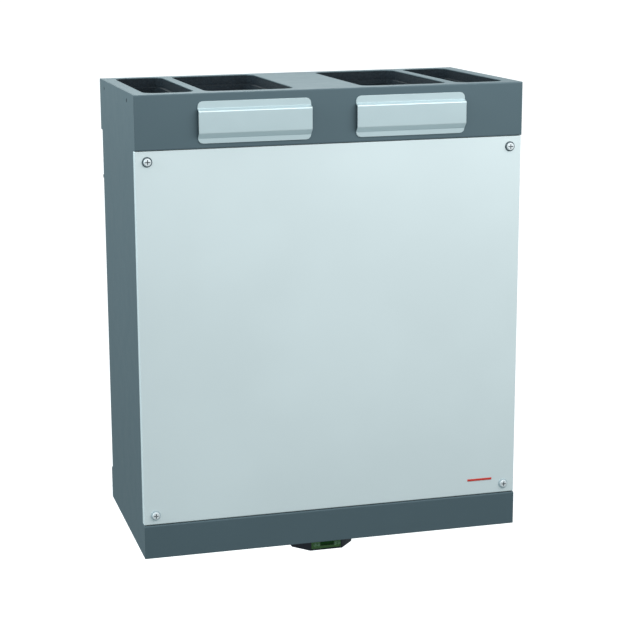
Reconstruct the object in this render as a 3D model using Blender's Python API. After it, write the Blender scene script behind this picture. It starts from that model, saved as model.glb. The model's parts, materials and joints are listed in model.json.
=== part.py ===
"""Wall-hung heat recovery unit: a steel cabinet with four duct ports in its top.

Sizes are millimetres. X runs from the middle of the cabinet to its right side, Y from the
wall (0) to the front (-DEPTH), and Z up from the underside of the base. The shape builders
return bmeshes in these numbers, node() scales them to metres, and the empty cabinet_datum
lowers the whole cabinet so that the origin is the middle of the wall rail's back face.
"""

import math

import bmesh
import bpy
from mathutils import Matrix, Vector
from mathutils.geometry import tessellate_polygon

MM = 0.001
GAP = 0.3               # air between pieces that touch

# Cabinet
WIDTH = 560.0
DEPTH = 290.0
HEIGHT = 660.0
SHEET = 1.2
BEND = 0.9              # radius at the middle of the sheet
HALF = WIDTH / 2
FRONT = -DEPTH
HOOD_BOTTOM = 584.0     # lower edge of the dark band over the front panel
BASE_TOP = 49.3         # upper edge of the dark band under it
BACK_INSET = 12.0       # back panel to wall
BASE_INSET = 3.0        # rear of the base to wall
INNER = HALF - SHEET - GAP
FLANGE_END = FRONT + 26.0
SIDE_SCREW_Y = (FRONT + 55.0, -40.0)
SIDE_SCREW_DROP = 12.0
END_FLANGE = 18.0

# Front panel
PANEL_FACE = FRONT + 2.0
PANEL_DEPTH = 9.0
PANEL_EDGE = 0.7        # gap to the bands above and below
PANEL_BEVEL = 1.4
PANEL_OVERHANG = 0.4     # past the side sheets, on each side
SCREW_X = HALF - 16.8
SCREW_HEIGHTS = (BASE_TOP + 14.7, HOOD_BOTTOM - 15.5)
SCREWS = [(side, z) for z in SCREW_HEIGHTS for side in (-1, 1)]
SLAB_HALF = 251.5
SLAB_BACK = FRONT + 25.7
SEAL_BACK = FRONT + 30.0

# Duct ports in the top, as (near, far) distances from the middle
WIDE_PORT = (48.5, 176.0)
SLIM_PORT = (190.0, 261.5)
PORT_FRONT = FRONT + 19.0
PORT_BACK = -17.0
PORT_CORNER = 17.0
LEDGE = 6.0
LEDGE_DROP = 14.0

# Filter cassettes and their caps
FILTER = (44.5, 180.0)
FILTER_HEIGHT = (604.0, 638.0)
FILTER_BACK = -27.0
SLOT_PLAY = 1.0
CAP = (32.5, 192.5)
CAP_HEIGHT = (591.0, 648.6)
CAP_CORNER = 7.0
CAP_SHEET = 1.5
CAP_BEND = 1.1
CAP_RISE = 7.0
CAP_FOLDS = (7.3, 14.5, -13.1, -10.6)    # from the lower edge, then from the upper one

# Foam body
FOAM_FRONT = SEAL_BACK + GAP
FOAM_BACK = -BACK_INSET - SHEET - GAP
FOAM_TOP = HOOD_BOTTOM + SHEET
DUCT = (194.0, 257.0)
DUCT_FRONT = FOAM_FRONT + 10.0
DUCT_BACK = FOAM_BACK - 15.0
DUCT_FLOOR = 104.0
CORE_HALF = 182.0       # half the width between the two side ducts
REAR_WALL = FOAM_BACK - 13.2
THROAT_FRONT = FOAM_FRONT + 2.0     # of the air way below the ledge of each port
THROAT_BACK = REAR_WALL
FLOOR_TOP = 96.0

# Exchanger: a lying hexagon, closed above and below
HEX_HALF = 178.5
HEX_RISE = 100.0
HEX_Z = 440.0
HEX_FRONT = FRONT + 31.5
HEX_BACK = -71.5
HEX_PLATE = 3.2
HEX_LAYERS = 20
HEX_GROOVE = 3.0

# Fans
FAN_X = 98.0
FAN_Z = 196.0
FAN_FRONT = -110.0
FAN_BACK = REAR_WALL - GAP
SCROLL_WALL = 2.4
SCROLL_START = 62.0
SCROLL_END = 84.0
TONGUE = math.radians(-40)
IMPELLER = 55.0
BLADES = 9
BLADE_STEPS = 3
SHAFT = 3.0

# Condensate
TRAY = (9.5, 178.5)
TRAY_FRONT = FOAM_FRONT + 2.5
TRAY_BACK = FAN_FRONT - 3.5
DRAIN = (140.0, -142.0)
DRAIN_RADIUS = 16.0
DRAIN_DROP = 26.0

# Bypass damper
DAMPER = (-181.4, -77.6)
DAMPER_Y = -49.0
DAMPER_Z = 552.0
DAMPER_HALF = 21.5

# Electronics in the base
BOX = (-200.0, 60.0)
BOX_DEPTH = (-284.0, -150.0)
BOX_HEIGHT = (1.8, 44.0)

# Display under the base
DISPLAY_HALF = 24.6
DISPLAY_FRONT = FRONT + 40.0
DISPLAY_DROP = 27.6
DISPLAY_BACK = FRONT + 140.0
BUTTONS = (-16.8, -11.6, 14.4, 19.6)
BUTTON_Z = -19.2
BUTTON_RADIUS = 1.9
LCD = (-8.6, 11.8)
LCD_HEIGHT = (-21.0, -6.0)
WINDOW_HEIGHT = (-DISPLAY_DROP + 1.7, -2.0)

GLAND = (-230.0, -80.0)

# Wall rail, the hanger that hooks over it, and the buffers low down
RAIL_Z = 507.0
RAIL_HALF = 268.0
RAIL_SHEET = 1.5
RAIL_FOOT = 15.0        # below RAIL_Z
RAIL_STEP = 16.0        # above it, where the sheet leaves the wall
RAIL_LIP = 35.0
RAIL_STAND = 7.1        # wall to the middle of the lip
HOOK_REACH = 11.0       # wall to the middle of the hanger's back
HOOK_TOP = 70.0
BUFFER_X = 230.0
BUFFER_Z = 26.0


# ---------------------------------------------------------------- flat outlines

def rounded(x0, x1, y0, y1, radius, steps=3):
    """Rectangle with round corners, counter-clockwise."""
    corners = ((x1 - radius, y0 + radius, -90), (x1 - radius, y1 - radius, 0),
               (x0 + radius, y1 - radius, 90), (x0 + radius, y0 + radius, 180))
    points = []
    for cx, cy, start in corners:
        for step in range(steps + 1):
            angle = math.radians(start + 90 * step / steps)
            points.append((cx + radius * math.cos(angle), cy + radius * math.sin(angle)))
    return points


def circle(cx, cy, radius, sides=16):
    """Regular outline of a round hole or bar."""
    angles = [2 * math.pi * side / sides for side in range(sides)]
    return [(cx + radius * math.cos(a), cy + radius * math.sin(a)) for a in angles]


def filleted(path, radius, steps=2):
    """Open path whose inner corners are arcs of one radius."""
    path = [Vector(point) for point in path]
    points = [path[0]]
    for before, corner, after in zip(path, path[1:], path[2:]):
        back = (before - corner).normalized()
        ahead = (after - corner).normalized()
        half = back.angle(ahead) / 2
        centre = corner + (back + ahead).normalized() * radius / math.sin(half)
        start = corner + back * radius / math.tan(half)
        end = corner + ahead * radius / math.tan(half)
        for step in range(steps + 1):
            spoke = start.lerp(end, step / steps) - centre
            points.append(centre + spoke.normalized() * radius)
    points.append(path[-1])
    return points


def strip(path, thickness):
    """Outline of a sheet that follows an open path at its middle."""
    left = []
    right = []
    last = len(path) - 1
    for index, point in enumerate(path):
        along = (path[min(index + 1, last)] - path[max(index - 1, 0)]).normalized()
        across = Vector((-along.y, along.x)) * thickness / 2
        left.append(tuple(point + across))
        right.append(tuple(point - across))
    return left + right[::-1]


# ---------------------------------------------------------------- closed shapes

def place(u, v, w, along):
    """Point with w on the named axis, and u and v on the other two in X, Y, Z order."""
    if along == "X":
        return (w, u, v)
    if along == "Y":
        return (u, w, v)
    return (u, v, w)


def prism(outline, start, end, along="Z", holes=()):
    """Prism over an outline with holes, from start to end on an axis."""
    shape = bmesh.new()
    loops = [outline, *holes]
    low = []
    high = []
    for loop in loops:
        low.append([shape.verts.new(place(u, v, start, along)) for u, v in loop])
        high.append([shape.verts.new(place(u, v, end, along)) for u, v in loop])
        for index in range(len(loop)):
            edge = (index - 1, index)
            shape.faces.new([low[-1][i] for i in edge] + [high[-1][i] for i in reversed(edge)])
    if holes:
        cover = tessellate_polygon([[Vector((u, v, 0)) for u, v in loop] for loop in loops])
    else:
        cover = [range(len(outline))]
    for level in (low, high):
        corners = [vertex for loop in level for vertex in loop]
        for face in cover:
            shape.faces.new([corners[i] for i in face])
    return shape


def block(x0, x1, y0, y1, z0, z1):
    """Plain rectangular solid between two corners."""
    return prism([(x0, y0), (x1, y0), (x1, y1), (x0, y1)], z0, z1)


def turned(profile, along="Z", sides=24):
    """Solid of revolution from closed (radius, position) points; radius 0 lies on the axis."""
    shape = bmesh.new()
    rings = []
    for radius, position in profile:
        outline = circle(0, 0, radius, sides) if radius else [(0, 0)]
        rings.append([shape.verts.new(place(u, v, position, along)) for u, v in outline])
    for first, second in zip(rings, rings[1:] + rings[:1]):
        if len(first) == len(second) == 1:
            continue
        for side in range(sides):
            corners = [first[side - 1], first[side]] if len(first) > 1 else [first[0]]
            corners += [second[side], second[side - 1]] if len(second) > 1 else [second[0]]
            shape.faces.new(corners)
    return shape


def tapered(lower, upper, z0, z1):
    """Solid between two outlines with the same number of points."""
    shape = bmesh.new()
    low = [shape.verts.new((x, y, z0)) for x, y in lower]
    high = [shape.verts.new((x, y, z1)) for x, y in upper]
    for index in range(len(low)):
        shape.faces.new((low[index - 1], low[index], high[index], high[index - 1]))
    shape.faces.new(low)
    shape.faces.new(high)
    return shape


def moved(shape, x=0.0, y=0.0, z=0.0):
    """The same shape, shifted."""
    bmesh.ops.translate(shape, verts=shape.verts, vec=(x, y, z))
    return shape


def spun(shape, degrees, along="Y"):
    """The same shape, turned about an axis through the origin."""
    turn = Matrix.Rotation(math.radians(degrees), 3, along)
    bmesh.ops.rotate(shape, verts=shape.verts, cent=(0, 0, 0), matrix=turn)
    return shape


def flipped(shape, side):
    """The shape as drawn for side 1, or mirrored across the middle for side -1."""
    bmesh.ops.scale(shape, verts=shape.verts, vec=(side, 1, 1))
    return shape


def grouped(shapes):
    """One bmesh that holds several separate solids."""
    group = bmesh.new()
    for shape in shapes:
        mesh = bpy.data.meshes.new("part")
        shape.to_mesh(mesh)
        shape.free()
        group.from_mesh(mesh)
        bpy.data.meshes.remove(mesh)
    return group


# ---------------------------------------------------------------- objects

def srgb(red, green, blue):
    """Linear colour from 8-bit display values."""
    channels = [value / 255 for value in (red, green, blue)]
    return [c / 12.92 if c <= 0.04045 else ((c + 0.055) / 1.055) ** 2.4 for c in channels]


def finish(name, colour, roughness, metallic=0.0):
    """Principled material of one colour."""
    material = bpy.data.materials.new(name)
    material.use_nodes = True
    shader = material.node_tree.nodes["Principled BSDF"]
    shader.inputs["Base Color"].default_value = (*srgb(*colour), 1.0)
    shader.inputs["Roughness"].default_value = roughness
    shader.inputs["Metallic"].default_value = metallic
    return material


def to_object(name, shape, at):
    """Object in metres from a bmesh in millimetres, with its faces pointing out."""
    bmesh.ops.recalc_face_normals(shape, faces=shape.faces)
    bmesh.ops.scale(shape, verts=shape.verts, vec=(MM, MM, MM))
    mesh = bpy.data.meshes.new(name)
    shape.to_mesh(mesh)
    shape.free()
    obj = bpy.data.objects.new(name, mesh)
    obj.location = [value * MM for value in at]
    obj.parent = DATUM
    bpy.context.scene.collection.objects.link(obj)
    return obj


def node(name, shape, material, at=(0.0, 0.0, 0.0), smooth=False):
    """A sub-part of the unit; its shape is drawn about the point it is placed at."""
    obj = to_object(name, shape, at)
    obj.data.materials.append(material)
    if smooth:
        obj.data.shade_smooth()
        obj.data.set_sharp_from_angle(angle=math.radians(35))
    return obj


def combine(obj, shape, operation):
    """Boolean of the object with a shape drawn about the same point."""
    tool = to_object(obj.name + "_tool", shape, [value / MM for value in obj.location])
    tool.hide_render = True
    tool.display_type = "WIRE"
    modifier = obj.modifiers.new(operation.lower(), "BOOLEAN")
    modifier.operation = operation
    modifier.solver = "EXACT"
    modifier.object = tool


def cut(obj, *shapes):
    """Take the shapes away, one after the other."""
    for shape in shapes:
        combine(obj, shape, "DIFFERENCE")


def fuse(obj, *shapes):
    """Grow the shapes onto the object, one after the other."""
    for shape in shapes:
        combine(obj, shape, "UNION")


def side_name(side):
    """Word for a side, as seen from the front."""
    return "right" if side > 0 else "left"


# ---------------------------------------------------------------- cabinet

def hollow_ends(obj, z0, z1):
    """Trim a full-width folded sheet so that only its front band reaches the corners."""
    behind = FRONT + SHEET + GAP
    for side in (-1, 1):
        cut(obj, flipped(block(INNER, HALF + 5, behind, 5, z0 - 5, z1 + 5), side))


def port_shape(near, far, z0, z1, side):
    """Rounded column of air just under one duct port."""
    outline = rounded(near, far, PORT_FRONT, PORT_BACK, PORT_CORNER)
    return flipped(prism(outline, z0, z1), side)


def throat_shape(near, far, z0, z1, side):
    """Narrower column of air below the ledge that the duct stands on."""
    outline = rounded(near + LEDGE, far - LEDGE, THROAT_FRONT, THROAT_BACK, PORT_CORNER - LEDGE)
    return flipped(prism(outline, z0, z1), side)


def make_hood(paint):
    """Top sheet: folded down in front and behind, with the ports and two filter slots."""
    middle = SHEET / 2
    path = [(FLANGE_END, HOOD_BOTTOM + middle), (FRONT + middle, HOOD_BOTTOM + middle),
            (FRONT + middle, HEIGHT - middle), (-middle, HEIGHT - middle),
            (-middle, HOOD_BOTTOM + middle), (-BACK_INSET + GAP, HOOD_BOTTOM + middle)]
    hood = node("top_hood", prism(strip(filleted(path, BEND), SHEET), -HALF, HALF, "X"), paint)
    hollow_ends(hood, HOOD_BOTTOM, HEIGHT)
    for side in (-1, 1):
        for near, far in (WIDE_PORT, SLIM_PORT):
            cut(hood, port_shape(near, far, HEIGHT - 10, HEIGHT + 10, side))
        slot = block(FILTER[0] - SLOT_PLAY, FILTER[1] + SLOT_PLAY, FRONT - 5, FRONT + 5,
                     FILTER_HEIGHT[0] - SLOT_PLAY, FILTER_HEIGHT[1] + SLOT_PLAY)
        cut(hood, flipped(slot, side))
        flange = block(INNER - SHEET, INNER, FRONT + 20, -20,
                       HEIGHT - END_FLANGE, HEIGHT - middle)
        fuse(hood, flipped(flange, side))
    cut(hood, side_screw_holes(HEIGHT - SIDE_SCREW_DROP, 1.6))


def make_base(paint):
    """Bottom tray with the same folded front band, and holes for what passes through it."""
    middle = SHEET / 2
    path = [(FLANGE_END, BASE_TOP - middle), (FRONT + middle, BASE_TOP - middle),
            (FRONT + middle, middle), (-BASE_INSET - middle, middle),
            (-BASE_INSET - middle, BASE_TOP - middle), (-BACK_INSET, BASE_TOP - middle)]
    base = node("base_tray", prism(strip(filleted(path, BEND), SHEET), -HALF, HALF, "X"), paint)
    hollow_ends(base, 0, BASE_TOP)
    for side in (-1, 1):
        flange = block(INNER - SHEET, INNER, FRONT + 20, -20, middle, END_FLANGE)
        fuse(base, flipped(flange, side))
        cut(base, prism(circle(side * BUFFER_X, BUFFER_Z, 4.4), -8, 2, "Y"))
    cut(base, prism(circle(*DRAIN, DRAIN_RADIUS + 0.6, 24), -5, 5),
        prism(circle(GLAND[0], GLAND[1], 10.4, 24), -5, 5),
        block(-14, 14, DISPLAY_FRONT + 25, DISPLAY_FRONT + 60, -5, 5))


def side_screw_holes(z, radius):
    """Two short bars through each side of the cabinet, where its screws sit."""
    bars = []
    for side in (-1, 1):
        for y in SIDE_SCREW_Y:
            bar = prism(circle(y, z, radius, 12), INNER - 8, HALF + 2, "X")
            bars.append(flipped(bar, side))
    return grouped(bars)


def make_side(side, paint):
    """Full-height side sheet with an inward flange that the front panel screws to."""
    front = FRONT + SHEET + GAP
    edge = PANEL_FACE + PANEL_DEPTH + GAP
    outline = [(front, 0), (-BASE_INSET, 0), (-BASE_INSET, BASE_TOP), (-BACK_INSET, BASE_TOP),
               (-BACK_INSET, HOOD_BOTTOM), (0, HOOD_BOTTOM), (0, HEIGHT), (front, HEIGHT),
               (front, HOOD_BOTTOM), (edge, HOOD_BOTTOM), (edge, BASE_TOP), (front, BASE_TOP)]
    sheet = prism(outline, HALF - SHEET, HALF, "X")
    panel = node(f"side_panel_{side_name(side)}", flipped(sheet, side), paint)
    flange = prism([(SLAB_HALF + 1.5, BASE_TOP + 3), (HALF - SHEET / 2, BASE_TOP + 3),
                    (HALF - SHEET / 2, HOOD_BOTTOM - 3), (SLAB_HALF + 1.5, HOOD_BOTTOM - 3)],
                   edge, edge + SHEET, "Y",
                   holes=[circle(SCREW_X, z, 3.4) for z in SCREW_HEIGHTS])
    fuse(panel, flipped(flange, side))
    cut(panel, side_screw_holes(HEIGHT - SIDE_SCREW_DROP, 3.0))


def make_back(paint):
    """Flat back panel between the hood and the base."""
    sheet = block(-INNER, INNER, -BACK_INSET - SHEET, -BACK_INSET,
                  BASE_TOP + GAP, HOOD_BOTTOM - GAP)
    back = node("back_panel", sheet, paint)
    for z in (150.0, 470.0):
        for x in (-180.0, 180.0):
            cut(back, prism(circle(x, z, 2.6, 12), -BACK_INSET - 5, -BACK_INSET + 5, "Y"))


def make_wall_fixing(zinc, rubber):
    """Wall rail with its upturned lip, the hanger hooked over it, and two wall buffers."""
    half = RAIL_SHEET / 2
    lip = RAIL_Z + RAIL_LIP
    rail = filleted([(-half, RAIL_Z - RAIL_FOOT), (-half, RAIL_Z + RAIL_STEP),
                     (-RAIL_STAND, RAIL_Z + RAIL_STEP), (-RAIL_STAND, lip)], 1.2)
    bar = node("wall_rail", prism(strip(rail, RAIL_SHEET), -RAIL_HALF, RAIL_HALF, "X"), zinc)
    for side in (-1, 1):
        tab = block(RAIL_HALF - 5, HALF - 1, -RAIL_SHEET, 0, RAIL_Z + 2.5, RAIL_Z + 7.5)
        fuse(bar, flipped(tab, side))
        cut(bar, flipped(prism(rounded(180, 220, RAIL_Z - 4, RAIL_Z + 4, 3.9), -5, 5, "Y"), side))
    hook = filleted([(-HOOK_REACH, RAIL_Z + HOOK_TOP), (-HOOK_REACH, lip + 1.2), (-4.0, lip + 1.2),
                     (-4.0, lip - 14)], 1.2)
    hanger = node("hanger_strip", prism(strip(hook, RAIL_SHEET), -240, 240, "X"), zinc)
    cut(hanger, *[prism(circle(x, RAIL_Z + 58, 2.6, 12), -15, -8, "Y") for x in (-180, 0, 180)])
    for side in (-1, 1):
        pad = turned([(0, 0), (11, 0), (11, -2.7), (4, -2.7), (4, -4.6), (6, -4.6), (4.5, -8),
                      (0, -8)], "Y", 20)
        node(f"wall_buffer_{side_name(side)}", moved(pad, side * BUFFER_X, 0, BUFFER_Z), rubber,
             smooth=True)


# ---------------------------------------------------------------- front panel

def make_front_panel(paint):
    """Shallow steel tray with soft front edges and four screw holes."""
    low = BASE_TOP + PANEL_EDGE
    high = HOOD_BOTTOM - PANEL_EDGE
    half = HALF + PANEL_OVERHANG
    shell = block(-half, half, PANEL_FACE, PANEL_FACE + PANEL_DEPTH, low, high)
    soft = [edge for edge in shell.edges
            if all(vertex.co.y < PANEL_FACE + 1 for vertex in edge.verts)
            or abs(edge.verts[0].co.y - edge.verts[1].co.y) > 1]
    bmesh.ops.bevel(shell, geom=soft, offset=PANEL_BEVEL, segments=2, profile=0.5, affect="EDGES")
    panel = node("front_panel", shell, paint)
    cut(panel, block(-half + SHEET, half - SHEET, PANEL_FACE + SHEET, PANEL_FACE + 20,
                     low + SHEET, high - SHEET))
    cut(panel, *[prism(circle(side * SCREW_X, z, 3.2), PANEL_FACE - 3, PANEL_FACE + 3, "Y")
                 for side, z in SCREWS])


def make_panel_fittings(steel, rubber, foam):
    """What the panel carries: a foam slab, its seal and four captive screws."""
    slab = block(-SLAB_HALF, SLAB_HALF, PANEL_FACE + SHEET + GAP, SLAB_BACK,
                 BASE_TOP + 5, HOOD_BOTTOM - 5)
    pad = node("front_panel_insulation", slab, foam)
    for side in (-1, 1):
        cut(pad, flipped(block(60, 200, SLAB_BACK - 4, SLAB_BACK + 5, 130, 300), side))
    z0 = BASE_TOP + 12
    z1 = HOOD_BOTTOM - 12
    ring = prism(rounded(-SLAB_HALF + 4, SLAB_HALF - 4, z0, z1, 14), SLAB_BACK + GAP, SEAL_BACK,
                 "Y", holes=[rounded(-SLAB_HALF + 16, SLAB_HALF - 16, z0 + 12, z1 - 12, 6)])
    node("front_panel_seal", ring, rubber)
    head = [(0, 22), (2.5, 22), (2.5, -1.4), (6.0, -1.4), (6.0, -2.4), (4.6, -3.9),
            (2.4, -4.5), (0, -4.6)]
    for number, (side, z) in enumerate(SCREWS, 1):
        screw = node(f"front_panel_screw_{number}", turned(head, "Y", 16), steel,
                     (side * SCREW_X, PANEL_FACE, z), smooth=True)
        for long, short in ((3.2, 0.6), (0.6, 3.2)):
            cut(screw, block(-long, long, -6, -2.6, -short, short))


# ---------------------------------------------------------------- foam body

def make_top_foam(foam):
    """Foam block inside the hood: four ledged sockets, and the tunnels of the filters."""
    body = node("foam_top", block(-INNER + SHEET + GAP, INNER - SHEET - GAP,
                                  FRONT + SHEET + GAP, -SHEET - GAP,
                                  FOAM_TOP + GAP, HEIGHT - SHEET - GAP), foam)
    ledge = HEIGHT - LEDGE_DROP
    for side in (-1, 1):
        for near, far in (WIDE_PORT, SLIM_PORT):
            cut(body, port_shape(near, far, ledge, HEIGHT + 5, side))
            cut(body, throat_shape(near, far, HOOD_BOTTOM - 5, ledge + 5, side))
        tunnel = block(FILTER[0] - SLOT_PLAY, FILTER[1] + SLOT_PLAY, FRONT - 5,
                       FILTER_BACK + SLOT_PLAY, FILTER_HEIGHT[0] - SLOT_PLAY,
                       FILTER_HEIGHT[1] + SLOT_PLAY)
        cut(body, flipped(tunnel, side))


def make_side_foam(side, foam):
    """Side moulding that holds the duct from the fan up to the slim port."""
    near, far = DUCT
    outer = block(CORE_HALF, INNER, FOAM_FRONT, FOAM_BACK, BASE_TOP + GAP, FOAM_TOP)
    body = node(f"foam_{side_name(side)}", flipped(outer, side), foam)
    duct = prism(rounded(near, far, DUCT_FRONT, DUCT_BACK, 8), DUCT_FLOOR, FOAM_TOP + 5)
    window = block(CORE_HALF - 5, near + 9, FAN_FRONT + 2, FAN_BACK - 2,
                   FAN_Z - SCROLL_END + 2, FAN_Z - SCROLL_END + 42)
    cut(body, flipped(duct, side), flipped(window, side))


def make_inner_foam(foam):
    """Rear wall, floor with its divider, and the crown over the exchanger."""
    half = CORE_HALF - GAP
    node("foam_rear", block(-half, half, REAR_WALL, FOAM_BACK, BASE_TOP + GAP, FOAM_TOP), foam)
    floor = node("foam_floor", block(-half, half, FOAM_FRONT, REAR_WALL - GAP,
                                     BASE_TOP + GAP, FLOOR_TOP), foam)
    fuse(floor, block(-5, 5, FOAM_FRONT, REAR_WALL - GAP, FLOOR_TOP - 3, HEX_Z - HEX_RISE - 3),
         block(-half, 0, HEX_BACK + GAP, REAR_WALL - GAP, 290, HEX_Z - HEX_RISE - 3))
    for side in (-1, 1):
        pocket = block(TRAY[0] - 1, TRAY[1] + 1, TRAY_FRONT - 1, TRAY_BACK + 1,
                       BASE_TOP + 6, FLOOR_TOP + 5)
        cut(floor, flipped(pocket, side))
    cut(floor, prism(circle(*DRAIN, 14, 20), BASE_TOP - 5, BASE_TOP + 10))
    crown = node("foam_crown", block(-76, 76, FOAM_FRONT, REAR_WALL - GAP,
                                     HEX_Z + HEX_RISE + 3, FOAM_TOP), foam)
    fuse(crown, block(70, half, HEX_BACK + GAP, REAR_WALL - GAP, HEX_Z + 8, FOAM_TOP))
    cut(crown, block(-80, -30, HEX_BACK - 3, REAR_WALL + 5, HEX_Z + HEX_RISE, FOAM_TOP - 10))


# ---------------------------------------------------------------- filters

def make_filter(side, silver, frame_plastic, fleece):
    """Cassette that pulls out to the front behind a folded cap."""
    word = side_name(side)
    flat = FRONT - GAP - CAP_SHEET / 2
    low, high = CAP_HEIGHT
    foot, rise, drop, head = CAP_FOLDS
    path = [(flat, low), (flat, low + foot), (flat - CAP_RISE, low + rise),
            (flat - CAP_RISE, high + drop), (flat, high + head), (flat, high)]
    sheet = prism(strip(filleted(path, CAP_BEND), CAP_SHEET), CAP[0], CAP[1], "X")
    cap = node(f"filter_cap_{word}", flipped(sheet, side), silver)
    keep = prism(rounded(CAP[0], CAP[1], low, high, CAP_CORNER), flat - 20, flat + 5, "Y")
    combine(cap, flipped(keep, side), "INTERSECT")

    near, far = FILTER
    z0, z1 = FILTER_HEIGHT
    window = (THROAT_FRONT, FILTER_BACK - LEDGE)
    shell = prism([(near, FRONT + 2), (far, FRONT + 2), (far, FILTER_BACK), (near, FILTER_BACK)],
                  z0, z1, holes=[[(near + 6, window[0]), (far - 6, window[0]),
                                  (far - 6, window[1]), (near + 6, window[1])]])
    frame = node(f"filter_frame_{word}", flipped(shell, side), frame_plastic)
    neck = block(near + 4, far - 4, FRONT - 3, FRONT + 8, z0 + 4, z1 - 4)
    plug = block(CAP[0] + 1.5, CAP[1] - 1.5, FRONT - CAP_RISE + 0.4, FRONT - 1.0,
                 z0 + 4.5, z1 - 4.5)
    fuse(frame, flipped(neck, side), flipped(plug, side))

    pleats = 18
    pitch = (window[1] - window[0] - 2) / pleats
    tops = (z0 + 3, z1 - 3)
    zigzag = [Vector((window[0] + 1 + pitch * step / 2, tops[step % 2]))
              for step in range(2 * pleats + 1)]
    media = prism(strip(zigzag, 0.5), near + 6 + GAP, far - 6 - GAP, "X")
    node(f"filter_media_{word}", flipped(media, side), fleece)


# ---------------------------------------------------------------- exchanger

def hexagon(slant=0.0, rise=0.0):
    """Cross-section in X and Z, its slanted and its flat faces moved outwards by two amounts."""
    tip = HEX_HALF + slant * math.sqrt(2)
    flat = tip - HEX_RISE - rise
    top = HEX_Z + HEX_RISE + rise
    bottom = HEX_Z - HEX_RISE - rise
    return [(tip, HEX_Z), (flat, top), (-flat, top), (-tip, HEX_Z), (-flat, bottom),
            (flat, bottom)]


def exchanger_stack(front, back):
    """Pack of plates: the outline steps in and out once for each layer."""
    shape = bmesh.new()
    pitch = (back - front) / (2 * HEX_LAYERS + 1)
    levels = []
    for layer in range(2 * HEX_LAYERS + 1):
        outline = hexagon(-HEX_GROOVE if layer % 2 else 0.0)
        for step in (layer, layer + 1):
            y = front + step * pitch
            levels.append([shape.verts.new((x, y, z)) for x, z in outline])
    for first, second in zip(levels, levels[1:]):
        for index in range(6):
            shape.faces.new((first[index - 1], first[index], second[index], second[index - 1]))
    shape.faces.new(levels[0])
    shape.faces.new(levels[-1])
    return shape


def corner_rail(corner, before, after, start, end):
    """Thin angle that wraps one long edge of the exchanger."""
    corner, before, after = (Vector(point) for point in (corner, before, after))
    legs = [(before - corner).normalized(), (after - corner).normalized()]
    outward = -(legs[0] + legs[1]).normalized()
    clear = GAP + 0.6
    shift = outward * clear / math.sin(legs[0].angle(legs[1]) / 2)
    path = [corner + shift + legs[0] * 12, corner + shift, corner + shift + legs[1] * 12]
    return prism(strip(path, 1.0), start, end, "Y")


def make_exchanger(plate_plastic, end_plastic, strap):
    """Counter-flow exchanger: core, the frame of two end plates and six rails, pull strap."""
    front = HEX_FRONT + HEX_PLATE + GAP
    back = HEX_BACK - HEX_PLATE - GAP
    node("exchanger_core", exchanger_stack(front, back), plate_plastic)
    rim = hexagon(1.8, 1.8)
    frame = node("exchanger_frame", prism(rim, HEX_FRONT, HEX_FRONT + HEX_PLATE, "Y"), end_plastic)
    corners = hexagon()
    rails = [corner_rail(corners[i], corners[i - 1], corners[(i + 1) % 6],
                         HEX_FRONT + 1, HEX_BACK - 1) for i in range(6)]
    fuse(frame, grouped(rails), prism(rim, HEX_BACK - HEX_PLATE, HEX_BACK, "Y"))
    band = filleted([(-55, HEX_Z + 77), (-55, HEX_Z + 60), (55, HEX_Z + 60), (55, HEX_Z + 77)], 8)
    node("exchanger_strap", prism(strip(band, 2.0), HEX_FRONT - 1.0, HEX_FRONT - GAP, "Y"), strap)


# ---------------------------------------------------------------- fans

def scroll_outline(inset):
    """Spiral that grows from the tongue round to the bottom, then runs out to the side."""
    turns = 22
    sweep = math.radians(270) - TONGUE
    points = []
    for step in range(turns + 1):
        angle = TONGUE + sweep * step / turns
        radius = SCROLL_START + (SCROLL_END - SCROLL_START) * step / turns - inset
        points.append((radius * math.cos(angle), radius * math.sin(angle)))
    mouth = CORE_HALF - GAP - FAN_X + (5 if inset else 0)
    roof = SCROLL_START * math.sin(TONGUE) - (inset if inset else 0)
    points.append((mouth, -SCROLL_END + inset))
    points.append((mouth, roof))
    return points


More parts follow.
